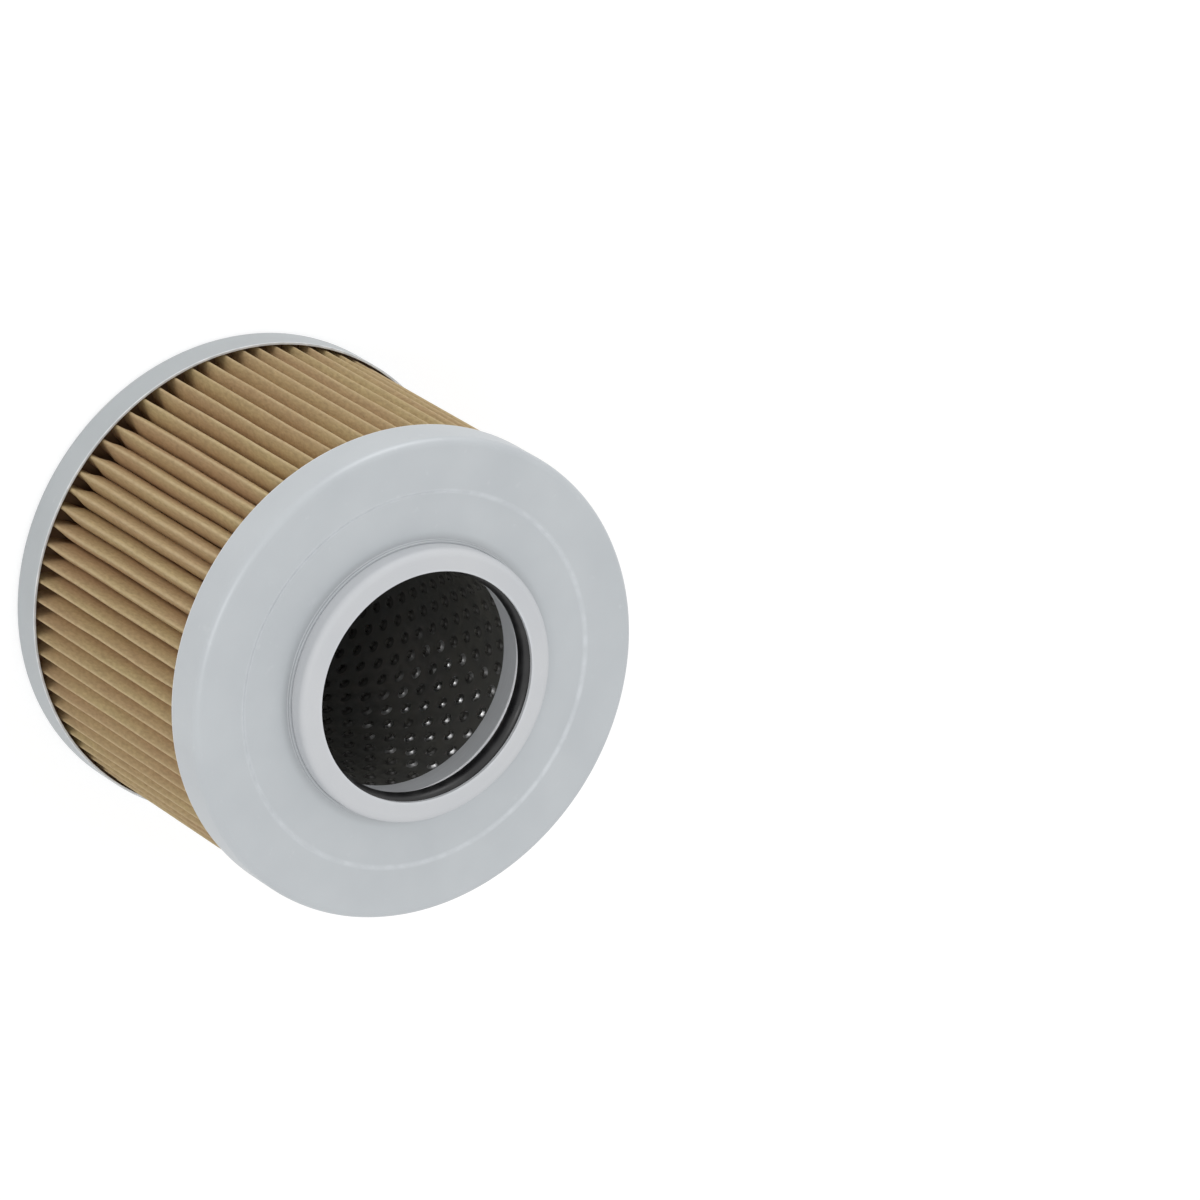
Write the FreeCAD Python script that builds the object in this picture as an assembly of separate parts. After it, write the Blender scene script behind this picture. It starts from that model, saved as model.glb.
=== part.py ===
import FreeCAD, Part
import math
import os

# Hydraulic filter element: a ring of pleated paper round a perforated steel tube, glued
# between two pressed steel end caps. It stands on its closed end. The open end is up and
# carries a short neck with a rubber seal. Millimetres, Z up along the element's axis,
# origin in the middle of the closed end's face.

# Element
element_diameter = 150.0
element_height = 111.5            # from the face of one cap to the face of the other

# End caps, pressed from sheet
cap_sheet = 0.8
cap_rim_radius = 2.5              # outside bend between face and skirt
bend_facets = 2                   # straight steps that a quarter round is turned in
open_skirt = 14.2                 # height of the open cap's skirt
closed_skirt = 12.2
open_band_width = 16.0            # flat band of the open face, from the outside in
open_step_run = 0.7               # sloped step inside that band
open_step_drop = 0.5
hole_lip_height = 1.0             # edge of the neck's hole, turned up
closed_band_width = 19.2          # flat band of the closed face, from the outside in
recess_run = 4.6                  # sloped wall of the closed face's recess
recess_depth = 2.5

# Neck and its seal
bore_radius = 36.0                # of the lip in front, which holds the seal in
neck_height = 6.5                 # from the open cap's flat band to the neck's front
neck_sheet = 1.2
neck_edge = 2.4                   # round on the neck's outer edge
neck_flange_width = 4.0           # flange of the neck, under the cap
seal_cord = 7.0                   # section of the O-ring
seal_reach = 1.4                  # how far the O-ring stands in past the lip
seal_room = 0.4                   # room above and below the O-ring

# Sleeve behind the seal
sleeve_sheet = 0.8
sleeve_step = 0.3                 # how much wider than the bore the sleeve is
sleeve_length = 8.0

# Centre tube
tube_sheet = 0.8
hole_width = 3.4                  # across the corners of a punched hole
holes_round = 24                  # in one row; the next row's lie between them
hole_rows = 9
hole_margin = 8.0                 # plain stretch at each end of the tube

# Pleated paper
pleat_count = 78
paper_thickness = 0.5
fold_half_width = 0.4             # half the width of a fold's flat crest
shoulder_depth = 3.2              # how far inside the crest a pleat is widest
pleat_gap = 0.8                   # gap between two pleats at their widest
seam_depth = 12.0                 # how far in from the crest the paper's ends are glued
seam_glue = 0.4

# Glue in the caps
open_glue = 4.2
closed_glue = 3.2

# Copper eyelet in the closed end
eyelet_bore = 5.0                 # radius of the way through
eyelet_barrel = 6.9               # inner radius of the barrel, as far as its ledge
eyelet_wall = 1.0
eyelet_rim = 9.9                  # outer radius of the rim
eyelet_rise = 2.1                 # how far the rim stands up from the recess
eyelet_ledge_depth = 3.3          # from the top of the rim to the ledge
eyelet_foot = 9.4                 # outer radius of the foot inside the cap
eyelet_foot_thickness = 1.0

# Clearances
slip_fit = 0.1                    # radial, between pieces that slide together
pleat_clearance = 0.5             # from the paper's crests to the inside of a skirt
tube_clearance = 0.3              # from the tube to the paper's inner folds

# Radii that follow
cap_outer = element_diameter / 2
skirt_inner = cap_outer - cap_sheet
step_radius = cap_outer - open_band_width
recess_radius = cap_outer - closed_band_width
neck_inner = bore_radius - seal_reach + seal_cord
neck_outer = neck_inner + neck_sheet
neck_flange = neck_outer + neck_flange_width
neck_hole = neck_outer + slip_fit
sleeve_inner = bore_radius + sleeve_step
sleeve_outer = sleeve_inner + sleeve_sheet
tube_inner = sleeve_outer + slip_fit
tube_outer = tube_inner + tube_sheet
tube_flats = 2 * holes_round      # every hole is punched in a flat of its own
tube_corner = tube_outer / math.cos(math.pi / tube_flats)
crest_radius = skirt_inner - pleat_clearance - paper_thickness / 2
valley_radius = tube_corner + tube_clearance + paper_thickness / 2
eyelet_outer = eyelet_barrel + eyelet_wall
eyelet_hole = eyelet_outer + slip_fit

# Heights that follow
open_face = element_height
lower_face = open_face - open_step_drop
under_face = lower_face - cap_sheet
neck_top = open_face + neck_height
seal_top = neck_top - neck_sheet
seal_bottom = seal_top - seal_cord - 2 * seal_room
sleeve_under = seal_bottom - sleeve_sheet
floor_inside = recess_depth + cap_sheet
paper_bottom = floor_inside + closed_glue
flange_under = under_face - neck_sheet
paper_top = flange_under - open_glue
paper_height = paper_top - paper_bottom


def turned(outline):
    """Solid of revolution round Z. The outline is a list of (radius, height) corners."""
    corners = [FreeCAD.Vector(radius, 0, height) for radius, height in outline]
    corners.append(corners[0])
    face = Part.Face(Part.makePolygon(corners))
    return face.revolve(FreeCAD.Vector(0, 0, 0), FreeCAD.Vector(0, 0, 1), 360)


def quarter_round(centre_radius, centre_height, radius, first, last):
    """Corners along a quarter round between two directions, in degrees up from outwards."""
    corners = []
    for step in range(bend_facets + 1):
        angle = math.radians(first + (last - first) * step / bend_facets)
        corners.append((centre_radius + radius * math.cos(angle),
                        centre_height + radius * math.sin(angle)))
    return corners


def bend_shift(run, drop):
    """How far the inside corner of a bend in the cap's sheet stands off the outside corner."""
    return cap_sheet * math.tan(math.atan2(drop, run) / 2)


def make_open_end_cap():
    """Face with a flat outer band, a shallow step down, and the neck's hole with its edge
    turned up. The skirt hangs down over the ends of the pleats."""
    rim_centre = cap_outer - cap_rim_radius
    step_foot = step_radius - open_step_run
    shift = bend_shift(open_step_run, open_step_drop)
    rim = quarter_round(rim_centre, open_face - cap_rim_radius, cap_rim_radius, 0, 90)
    return turned([
        (cap_outer, open_face - open_skirt),
        *rim,
        (step_radius, open_face),
        (step_foot, lower_face),
        (neck_hole + cap_sheet, lower_face),
        (neck_hole + cap_sheet, lower_face + hole_lip_height),
        (neck_hole, lower_face + hole_lip_height),
        (neck_hole, under_face),
        (step_foot + shift, under_face),
        (step_radius + shift, open_face - cap_sheet),
        (rim_centre, open_face - cap_sheet),
        (skirt_inner, open_face - cap_rim_radius),
        (skirt_inner, open_face - open_skirt),
    ])


def make_closed_end_cap():
    """Flat band round a shallow dished recess, with the eyelet's hole in the middle."""
    rim_centre = cap_outer - cap_rim_radius
    recess_foot = recess_radius - recess_run
    shift = bend_shift(recess_run, recess_depth)
    rim = quarter_round(rim_centre, cap_rim_radius, cap_rim_radius, 0, -90)
    return turned([
        (cap_outer, closed_skirt),
        *rim,
        (recess_radius, 0),
        (recess_foot, recess_depth),
        (eyelet_hole, recess_depth),
        (eyelet_hole, floor_inside),
        (recess_foot + shift, floor_inside),
        (recess_radius + shift, cap_sheet),
        (rim_centre, cap_sheet),
        (skirt_inner, cap_rim_radius),
        (skirt_inner, closed_skirt),
    ])


def make_neck_collar():
    """Drawn ring. Its front lip holds the seal, its wall comes up through the cap's hole, and
    its flange lies under the cap's sheet."""
    edge = quarter_round(neck_outer - neck_edge, neck_top - neck_edge, neck_edge, 90, 0)
    return turned([
        (bore_radius, neck_top),
        *edge,
        (neck_outer, under_face),
        (neck_flange, under_face),
        (neck_flange, flange_under),
        (neck_inner, flange_under),
        (neck_inner, seal_top),
        (bore_radius, seal_top),
    ])


def make_neck_seal():
    """O-ring in the neck, with an eight-sided section."""
    radius = seal_cord / 2 / math.cos(math.pi / 8)
    centre_radius = neck_inner - seal_cord / 2
    centre_height = (seal_top + seal_bottom) / 2
    corners = [math.pi / 8 + turn * math.pi / 4 for turn in range(8)]
    return turned([
        (centre_radius + radius * math.cos(angle), centre_height + radius * math.sin(angle))
        for angle in corners
    ])


def make_seal_sleeve():
    """Flanged sleeve. The flange backs the seal and sits on the centre tube's end, and the
    barrel reaches down inside the tube."""
    return turned([
        (sleeve_inner, seal_bottom),
        (neck_inner - slip_fit, seal_bottom),
        (neck_inner - slip_fit, sleeve_under),
        (sleeve_outer, sleeve_under),
        (sleeve_outer, seal_bottom - sleeve_length),
        (sleeve_inner, seal_bottom - sleeve_length),
    ])


def polar(radius, angle, aside=0.0):
    """Point at a radius and angle, moved aside at right angles to that radius."""
    x = radius * math.cos(angle) - aside * math.sin(angle)
    y = radius * math.sin(angle) + aside * math.cos(angle)
    return FreeCAD.Vector(x, y, 0)


def many_sided(radius, sides):
    """Flat face with so many sides, whose sides lie at this distance from the axis."""
    corner_radius = radius / math.cos(math.pi / sides)
    corners = [polar(corner_radius, (side + 0.5) * 2 * math.pi / sides)
               for side in range(sides + 1)]
    return Part.Face(Part.makePolygon(corners))


def make_centre_tube():
    """Perforated tube with staggered rows of punched holes. It stands on the closed cap's
    floor and carries the sleeve."""
    height = sleeve_under - floor_inside
    ring = many_sided(tube_outer, tube_flats).cut(many_sided(tube_inner, tube_flats))
    ring.translate(FreeCAD.Vector(0, 0, floor_inside))
    tube = ring.Faces[0].extrude(FreeCAD.Vector(0, 0, height))
    lowest = floor_inside + hole_margin + hole_width / 2
    highest = floor_inside + height - hole_margin - hole_width / 2 - sleeve_length
    row_pitch = (highest - lowest) / (hole_rows - 1)
    inside = tube_inner - tube_sheet
    corners = [
        FreeCAD.Vector(inside, hole_width / 2 * math.cos(turn * math.pi / 3),
                       hole_width / 2 * math.sin(turn * math.pi / 3))
        for turn in range(7)
    ]
    stroke = FreeCAD.Vector(3 * tube_sheet, 0, 0)
    punch = Part.Face(Part.makePolygon(corners)).extrude(stroke)
    punches = []
    for row in range(hole_rows):
        for place in range(holes_round):
            hole = punch.copy()
            hole.translate(FreeCAD.Vector(0, 0, lowest + row * row_pitch))
            turn = (2 * place + row % 2) * 360 / tube_flats
            hole.rotate(FreeCAD.Vector(0, 0, 0), FreeCAD.Vector(0, 0, 1), turn)
            punches.append(hole)
    return tube.cut(Part.makeCompound(punches))


def paper_line():
    """Middle line of the folded paper, from one end at the seam round to the other."""
    pitch = 2 * math.pi / pleat_count
    shoulder_radius = crest_radius - shoulder_depth
    shoulder = shoulder_radius * math.sin(pitch / 2) - (pleat_gap + paper_thickness) / 2
    seam_side = (seam_glue + paper_thickness) / 2
    seam = math.pi / 2
    line = [
        polar(crest_radius, seam, seam_side),
        polar(crest_radius - seam_depth, seam, seam_side),
    ]
    for pleat in range(pleat_count):
        valley = seam + (pleat + 0.5) * pitch
        crest = seam + (pleat + 1) * pitch
        line.append(polar(valley_radius, valley, -fold_half_width))
        line.append(polar(valley_radius, valley, fold_half_width))
        if pleat < pleat_count - 1:
            line.append(polar(shoulder_radius, crest, -shoulder))
            line.append(polar(crest_radius, crest, -fold_half_width))
            line.append(polar(crest_radius, crest, fold_half_width))
            line.append(polar(shoulder_radius, crest, shoulder))
    line.append(polar(crest_radius - seam_depth, seam, -seam_side))
    line.append(polar(crest_radius, seam, -seam_side))
    return line


def beside(line, distance):
    """The line moved sideways by a distance, with its corners mitred."""
    up = FreeCAD.Vector(0, 0, 1)
    moved = []
    for index, point in enumerate(line):
        before = line[max(index - 1, 0)]
        after = line[min(index + 1, len(line) - 1)]
        sides = []
        if index > 0:
            sides.append(up.cross(point - before).normalize())
        if index < len(line) - 1:
            sides.append(up.cross(after - point).normalize())
        mean = sides[0] + sides[-1]
        mean.normalize()
        reach = distance / mean.dot(sides[0])
        moved.append(point + mean * reach)
    return moved


def make_pleated_paper():
    """One sheet folded into pleats. Each pleat is widest a little inside its crest, and the
    sheet's two ends lie side by side at the seam."""
    line = paper_line()
    outline = beside(line, paper_thickness / 2) + beside(line, -paper_thickness / 2)[::-1]
    outline.append(outline[0])
    sheet = Part.Face(Part.makePolygon(outline))
    paper = sheet.extrude(FreeCAD.Vector(0, 0, paper_height))
    paper.translate(FreeCAD.Vector(0, 0, paper_bottom))
    return paper


def make_seam_glue():
    """Strip of glue between the two ends of the paper."""
    inner = crest_radius - seam_depth
    strip = Part.makeBox(seam_glue, seam_depth, paper_height)
    strip.translate(FreeCAD.Vector(-seam_glue / 2, inner, paper_bottom))
    return strip


def make_open_end_glue():
    """Ring of glue that fills the open cap, round the tube, the sleeve's flange and the
    neck's flange."""
    shift = bend_shift(open_step_run, open_step_drop)
    return turned([
        (tube_corner, paper_top),
        (skirt_inner, paper_top),
        (skirt_inner, open_face - cap_rim_radius),
        (cap_outer - cap_rim_radius, open_face - cap_sheet),
        (step_radius + shift, open_face - cap_sheet),
        (step_radius - open_step_run + shift, under_face),
        (neck_flange, under_face),
        (neck_flange, flange_under),
        (neck_inner, flange_under),
        (neck_inner, sleeve_under),
        (tube_corner, sleeve_under),
    ])


def make_closed_end_glue():
    """Ring of glue in the closed cap. It fills the trough beside the recess."""
    shift = bend_shift(recess_run, recess_depth)
    return turned([
        (tube_corner, paper_bottom),
        (tube_corner, floor_inside),
        (recess_radius - recess_run + shift, floor_inside),
        (recess_radius + shift, cap_sheet),
        (cap_outer - cap_rim_radius, cap_sheet),
        (skirt_inner, cap_rim_radius),
        (skirt_inner, paper_bottom),
    ])


def make_copper_eyelet():
    """Eyelet with a rolled rim outside, a ledge in its barrel and a foot inside the cap. The
    rim stays just below the face that the element stands on."""
    rim_top = recess_depth - eyelet_rise
    ledge = rim_top + eyelet_ledge_depth
    rim_middle = recess_depth - eyelet_rise / 2
    round_run = (eyelet_rim - eyelet_barrel) / 3
    foot_top = max(floor_inside, ledge) + eyelet_foot_thickness
    return turned([
        (eyelet_barrel, rim_middle),
        (eyelet_barrel + round_run, rim_top),
        (eyelet_rim - round_run, rim_top),
        (eyelet_rim, rim_middle),
        (eyelet_rim, recess_depth),
        (eyelet_outer, recess_depth),
        (eyelet_outer, floor_inside),
        (eyelet_foot, floor_inside),
        (eyelet_foot, foot_top),
        (eyelet_bore, foot_top),
        (eyelet_bore, ledge),
        (eyelet_barrel, ledge),
    ])


pieces = {
    "open_end_cap": make_open_end_cap,
    "neck_collar": make_neck_collar,
    "neck_seal": make_neck_seal,
    "seal_sleeve": make_seal_sleeve,
    "centre_tube": make_centre_tube,
    "pleated_paper": make_pleated_paper,
    "seam_glue": make_seam_glue,
    "open_end_glue": make_open_end_glue,
    "closed_end_glue": make_closed_end_glue,
    "closed_end_cap": make_closed_end_cap,
    "copper_eyelet": make_copper_eyelet,
}

os.makedirs("parts", exist_ok=True)
for name, make in pieces.items():
    solid = make()
    if solid.ShapeType != "Solid":
        solid = solid.Solids[0]
    solid.exportStep("parts/" + name + ".step")
    print(name, "volume", round(solid.Volume / 1000, 2), "cm3, valid", solid.isValid())
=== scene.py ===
# %% [markdown]
# # A hydraulic filter element
# Oil goes in through the folded paper, through the holes of the tube and out of the neck.
# The CAD model already has every piece at its real size. This script loads it as a fixed
# frame, and makes the looks: rounder bends, bulging pleats, a finely punched tube and the
# finishes. Everything is in metres, with Z up along the element's axis.

# %% Load the CAD model
import math

import bmesh
import bpy
from mathutils import Matrix, Vector


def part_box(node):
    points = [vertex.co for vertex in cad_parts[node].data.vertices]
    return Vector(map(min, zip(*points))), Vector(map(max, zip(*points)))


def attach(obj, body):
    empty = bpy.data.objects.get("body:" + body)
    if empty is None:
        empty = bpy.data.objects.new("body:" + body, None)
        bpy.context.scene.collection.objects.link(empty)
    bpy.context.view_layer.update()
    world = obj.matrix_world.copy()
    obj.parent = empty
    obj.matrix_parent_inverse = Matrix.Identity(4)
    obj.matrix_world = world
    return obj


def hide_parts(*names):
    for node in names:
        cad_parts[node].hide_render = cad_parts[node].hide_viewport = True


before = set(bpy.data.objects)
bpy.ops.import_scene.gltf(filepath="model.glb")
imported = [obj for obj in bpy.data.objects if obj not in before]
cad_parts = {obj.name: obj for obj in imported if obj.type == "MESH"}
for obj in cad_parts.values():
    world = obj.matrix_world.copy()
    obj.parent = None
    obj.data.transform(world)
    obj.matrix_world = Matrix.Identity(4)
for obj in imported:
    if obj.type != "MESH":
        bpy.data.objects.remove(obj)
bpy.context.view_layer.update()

print("nodes:", ", ".join(sorted(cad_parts)))

# %% [markdown]
# ## Sizes
# A size that the CAD model can tell is read from its boxes, so both always agree. The rest
# are sheet thicknesses, steps and bends, which are named once here, in millimetres made
# metres.

# %% Read the sizes
mm = 0.001

cap_low, cap_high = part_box("open_end_cap")
closed_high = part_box("closed_end_cap")[1]
collar_low, collar_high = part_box("neck_collar")
seal_low, seal_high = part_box("neck_seal")
sleeve_low, sleeve_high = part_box("seal_sleeve")
tube_low, tube_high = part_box("centre_tube")
paper_low, paper_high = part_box("pleated_paper")
eyelet_low, eyelet_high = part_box("copper_eyelet")

cap_radius = cap_high.x
cap_sheet = 0.8 * mm
cap_rim_bend = 2.5 * mm
cut_edge = 0.18 * mm
step_drop = 0.5 * mm
step_run = 0.7 * mm
rim_to_step = 16.0 * mm
hole_lip_height = 1.0 * mm
open_face = cap_high.z - hole_lip_height + step_drop
lower_face = open_face - step_drop
under_face = lower_face - cap_sheet
step_radius = cap_radius - rim_to_step

neck_sheet = 1.2 * mm
neck_clearance = 0.03 * mm
bore_radius = 36.0 * mm
neck_inner = seal_high.x
neck_outer = neck_inner + neck_sheet
neck_hole = neck_outer + neck_clearance

recess_depth = 2.5 * mm
recess_run = 4.6 * mm
rim_to_recess = 19.2 * mm
recess_radius = cap_radius - rim_to_recess
print("caps", round(2 * cap_radius / mm, 1), "mm across, face at", round(open_face / mm, 1))

# %% [markdown]
# ## Turned sheet metal
# The caps, the neck, the sleeve and the eyelet are round, so each one is an outline turned
# about the axis. Sheet metal never has a sharp corner: a punch rounds the outside of a bend
# by about two sheet thicknesses. So each corner of an outline carries its own bend radius,
# and an arc takes the corner's place. Those arcs are what catch the light as thin bright
# lines. A modifier could round the edges too, but here the radii are the real ones.

# %% Turn an outline
arc_step = math.radians(15)
same_place = 0.001 * mm


def rounded(corners):
    """Closed outline through (radius, height, bend) corners, with each bend made an arc."""
    points = []
    for index, (radius, height, bend) in enumerate(corners):
        corner = Vector((radius, height))
        before = (Vector(corners[index - 1][:2]) - corner).normalized()
        after = (Vector(corners[(index + 1) % len(corners)][:2]) - corner).normalized()
        if bend == 0:
            points.append(corner)
            continue
        half = before.angle(after) / 2
        centre = corner + (before + after).normalized() * bend / math.sin(half)
        start = corner + before * bend / math.tan(half) - centre
        end = corner + after * bend / math.tan(half) - centre
        turn = start.angle_signed(end)
        steps = max(2, round(abs(turn) / arc_step))
        for step in range(steps + 1):
            points.append(centre + Matrix.Rotation(-turn * step / steps, 2) @ start)
    return [point for index, point in enumerate(points)
            if (point - points[index - 1]).length > same_place]


def turned(name, corners, around=240):
    """Object made by turning an outline about Z."""
    outline = rounded(corners)
    mesh = bmesh.new()
    rings = []
    for turn in range(around):
        angle = 2 * math.pi * turn / around
        right, up = math.cos(angle), math.sin(angle)
        rings.append([mesh.verts.new((radius * right, radius * up, height))
                      for radius, height in outline])
    for turn in range(around):
        here, there = rings[turn], rings[(turn + 1) % around]
        for point in range(len(outline)):
            onward = (point + 1) % len(outline)
            mesh.faces.new((here[point], there[point], there[onward], here[onward]))
    bmesh.ops.recalc_face_normals(mesh, faces=mesh.faces)
    return finished(name, mesh)


def finished(name, mesh):
    """Object with smooth faces from a bmesh, linked to the scene."""
    for face in mesh.faces:
        face.smooth = True
    data = bpy.data.meshes.new(name)
    mesh.to_mesh(data)
    mesh.free()
    piece = bpy.data.objects.new(name, data)
    bpy.context.scene.collection.objects.link(piece)
    print(name, len(data.polygons), "faces")
    return piece


def keep_flats_flat(piece):
    """Normals weighted by area alone, so that a bend doesn't shade the flat beside it."""
    weighted = piece.modifiers.new("Weighted normals", "WEIGHTED_NORMAL")
    weighted.weight = 100
    weighted.keep_sharp = True


def stands_for(piece, node):
    """The piece takes a CAD node's place."""
    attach(piece, "root")
    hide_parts(node)


# %% [markdown]
# ## The open end cap
# A disc is pressed in three strokes: the skirt is drawn down, the face gets its shallow
# step, and the edge of the neck's hole is turned up. The outline runs up the skirt, in over
# the face and back along the underside, one sheet thickness away.

# %% Press the open cap
skirt_inner = cap_radius - cap_sheet
step_foot = step_radius - step_run
bend_shift = cap_sheet * math.tan(math.atan2(step_drop, step_run) / 2)
soft_bend = 1.3 * mm
hole_bend = 0.35 * mm
hole_edge = 0.12 * mm
open_cap = turned("open_cap_pressing", [
    (cap_radius, cap_low.z, cut_edge),
    (cap_radius, open_face, cap_rim_bend),
    (step_radius, open_face, soft_bend),
    (step_foot, lower_face, soft_bend),
    (neck_hole + cap_sheet, lower_face, hole_bend),
    (neck_hole + cap_sheet, cap_high.z, hole_bend),
    (neck_hole, cap_high.z, hole_edge),
    (neck_hole, under_face, cut_edge),
    (step_foot + bend_shift, under_face, soft_bend),
    (step_radius + bend_shift, open_face - cap_sheet, soft_bend),
    (skirt_inner, open_face - cap_sheet, cap_rim_bend - cap_sheet),
    (skirt_inner, cap_low.z, cut_edge),
])
keep_flats_flat(open_cap)
stands_for(open_cap, "open_end_cap")

# %% [markdown]
# ## The closed end cap
# The same pressing without a neck. Its face is dished, so that the flat band outside stands
# on the ground and the eyelet's rim stays clear of it.

# %% Press the closed cap
eyelet_barrel = 6.9 * mm
eyelet_wall = 1.0 * mm
eyelet_clearance = 0.1 * mm
eyelet_hole = eyelet_barrel + eyelet_wall + eyelet_clearance
floor_inside = recess_depth + cap_sheet
recess_foot = recess_radius - recess_run
recess_shift = cap_sheet * math.tan(math.atan2(recess_depth, recess_run) / 2)
recess_bend = 2.0 * mm
closed_cap = turned("closed_cap_pressing", [
    (cap_radius, closed_high.z, cut_edge),
    (cap_radius, 0, cap_rim_bend),
    (recess_radius, 0, recess_bend),
    (recess_foot, recess_depth, recess_bend),
    (eyelet_hole, recess_depth, cut_edge),
    (eyelet_hole, floor_inside, cut_edge),
    (recess_foot + recess_shift, floor_inside, recess_bend),
    (recess_radius + recess_shift, cap_sheet, recess_bend),
    (skirt_inner, cap_sheet, cap_rim_bend - cap_sheet),
    (skirt_inner, closed_high.z, cut_edge),
])
keep_flats_flat(closed_cap)
stands_for(closed_cap, "closed_end_cap")

# %% [markdown]
# ## The neck and its sleeve
# The neck is a drawn ring. Its front lip keeps the seal from coming out, and its flange is
# held under the cap. The sleeve behind the seal is a second ring, whose barrel reaches down
# inside the tube. Only a thin grey band of it shows behind the black seal.

# %% Draw the neck and the sleeve
lip_under = collar_high.z - neck_sheet
lip_edge = 0.15 * mm
front_bend = 2.4 * mm
seal_seat_bend = 1.0 * mm
flange_bend = 0.6 * mm
flange_crease = 0.2 * mm
collar = turned("neck_ring", [
    (bore_radius, collar_high.z, lip_edge),
    (neck_outer, collar_high.z, front_bend),
    (neck_outer, under_face, flange_crease),
    (collar_high.x, under_face, cut_edge),
    (collar_high.x, collar_low.z, cut_edge),
    (neck_inner, collar_low.z, flange_bend),
    (neck_inner, lip_under, seal_seat_bend),
    (bore_radius, lip_under, lip_edge),
])
keep_flats_flat(collar)
stands_for(collar, "neck_collar")

sleeve_set_back = 0.3 * mm
sleeve_inner = bore_radius + sleeve_set_back
sleeve_outer = sleeve_inner + cap_sheet
sleeve_bend = 0.9 * mm
sleeve_crease = 0.1 * mm
sleeve = turned("seal_backing_sleeve", [
    (sleeve_inner, sleeve_high.z, sleeve_bend),
    (sleeve_high.x, sleeve_high.z, cut_edge),
    (sleeve_high.x, sleeve_high.z - cap_sheet, cut_edge),
    (sleeve_outer, sleeve_high.z - cap_sheet, sleeve_crease),
    (sleeve_outer, sleeve_low.z, cut_edge),
    (sleeve_inner, sleeve_low.z, cut_edge),
])
keep_flats_flat(sleeve)
stands_for(sleeve, "seal_sleeve")

# %% [markdown]
# ## The O-ring
# A round cord bent to a ring: a torus, turned from a circle. The outline helper makes the
# circle too, because a square whose corners are rounded by half its side is one.

# %% Make the seal
cord = seal_high.z - seal_low.z
seal_inner = seal_high.x - cord
seal = turned("neck_o_ring", [
    (seal_inner, seal_low.z, cord / 2),
    (seal_inner + cord, seal_low.z, cord / 2),
    (seal_inner + cord, seal_low.z + cord, cord / 2),
    (seal_inner, seal_low.z + cord, cord / 2),
])
stands_for(seal, "neck_seal")

# %% [markdown]
# ## The copper eyelet
# It is riveted into the closed cap: a rolled rim outside, a foot inside, and a ledge in the
# barrel for the stud's nut.

# %% Roll the eyelet
eyelet_bore = 5.0 * mm
eyelet_foot = 9.4 * mm
ledge_height = 1.0 * mm
mouth_bend = 0.9 * mm
roll_bend = 1.0 * mm
foot_bend = 0.4 * mm
bore_bend = 0.3 * mm
ledge = eyelet_high.z - ledge_height
eyelet = turned("eyelet_ring", [
    (eyelet_barrel, eyelet_low.z, mouth_bend),
    (eyelet_high.x, eyelet_low.z, roll_bend),
    (eyelet_high.x, recess_depth, foot_bend),
    (eyelet_barrel + eyelet_wall, recess_depth, 0),
    (eyelet_barrel + eyelet_wall, floor_inside, 0),
    (eyelet_foot, floor_inside, cut_edge),
    (eyelet_foot, eyelet_high.z, foot_bend),
    (eyelet_bore, eyelet_high.z, bore_bend),
    (eyelet_bore, ledge, cut_edge),
    (eyelet_barrel, ledge, cut_edge),
], around=96)
keep_flats_flat(eyelet)
stands_for(eyelet, "copper_eyelet")

# %% [markdown]
# ## Help for node trees
# Geometry and material trees are both chains of small steps. These helpers add one step and
# plug it in, so that the cells below read like formulas.

# %% Chain nodes
def feed(tree, socket, value):
    """Links an output to a socket, or sets the socket to a plain value."""
    if isinstance(value, bpy.types.NodeSocket):
        tree.links.new(value, socket)
    else:
        socket.default_value = value


def step(tree, kind, inputs=None, settings=None):
    """New node with its settings and inputs. Inputs are given by name or by number."""
    node = tree.nodes.new(kind)
    for name, value in (settings or {}).items():
        setattr(node, name, value)
    for name, value in (inputs or {}).items():
        feed(tree, node.inputs[name], value)
    return node


def maths(tree, operation, first, second=0.0, third=0.0):
    """Output of a Math node."""
    inputs = {0: first, 1: second, 2: third}
    return step(tree, "ShaderNodeMath", inputs, {"operation": operation}).outputs[0]


def times(tree, first, second):
    """Product of two values."""
    return maths(tree, "MULTIPLY", first, second)


def vector(tree, operation, first, second=(0, 0, 0)):
    """Output of a Vector Math node."""
    node = step(tree, "ShaderNodeVectorMath", {0: first}, {"operation": operation})
    if operation == "SCALE":
        feed(tree, node.inputs["Scale"], second)
    elif operation not in ("LENGTH", "NORMALIZE"):
        feed(tree, node.inputs[1], second)
    return node.outputs["Value" if operation == "LENGTH" else "Vector"]


def apart(tree, first, second):
    """How far apart two values are."""
    return maths(tree, "ABSOLUTE", maths(tree, "SUBTRACT", first, second))


def height_of(tree, place):
    """Z of a place."""
    return step(tree, "ShaderNodeSeparateXYZ", {"Vector": place}).outputs["Z"]


def off_axis(tree, place):
    """The level vector from the element's axis to a place."""
    return vector(tree, "MULTIPLY", place, (1, 1, 0))


def new_geometry_tree(name, sockets):
    """Geometry tree with named inputs. Returns the tree and its input node's outputs."""
    tree = bpy.data.node_groups.new(name, "GeometryNodeTree")
    for socket, kind in sockets.items():
        tree.interface.new_socket(socket, in_out="INPUT", socket_type=kind)
    tree.interface.new_socket("Geometry", in_out="OUTPUT", socket_type="NodeSocketGeometry")
    return tree, tree.nodes.new("NodeGroupInput").outputs


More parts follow.
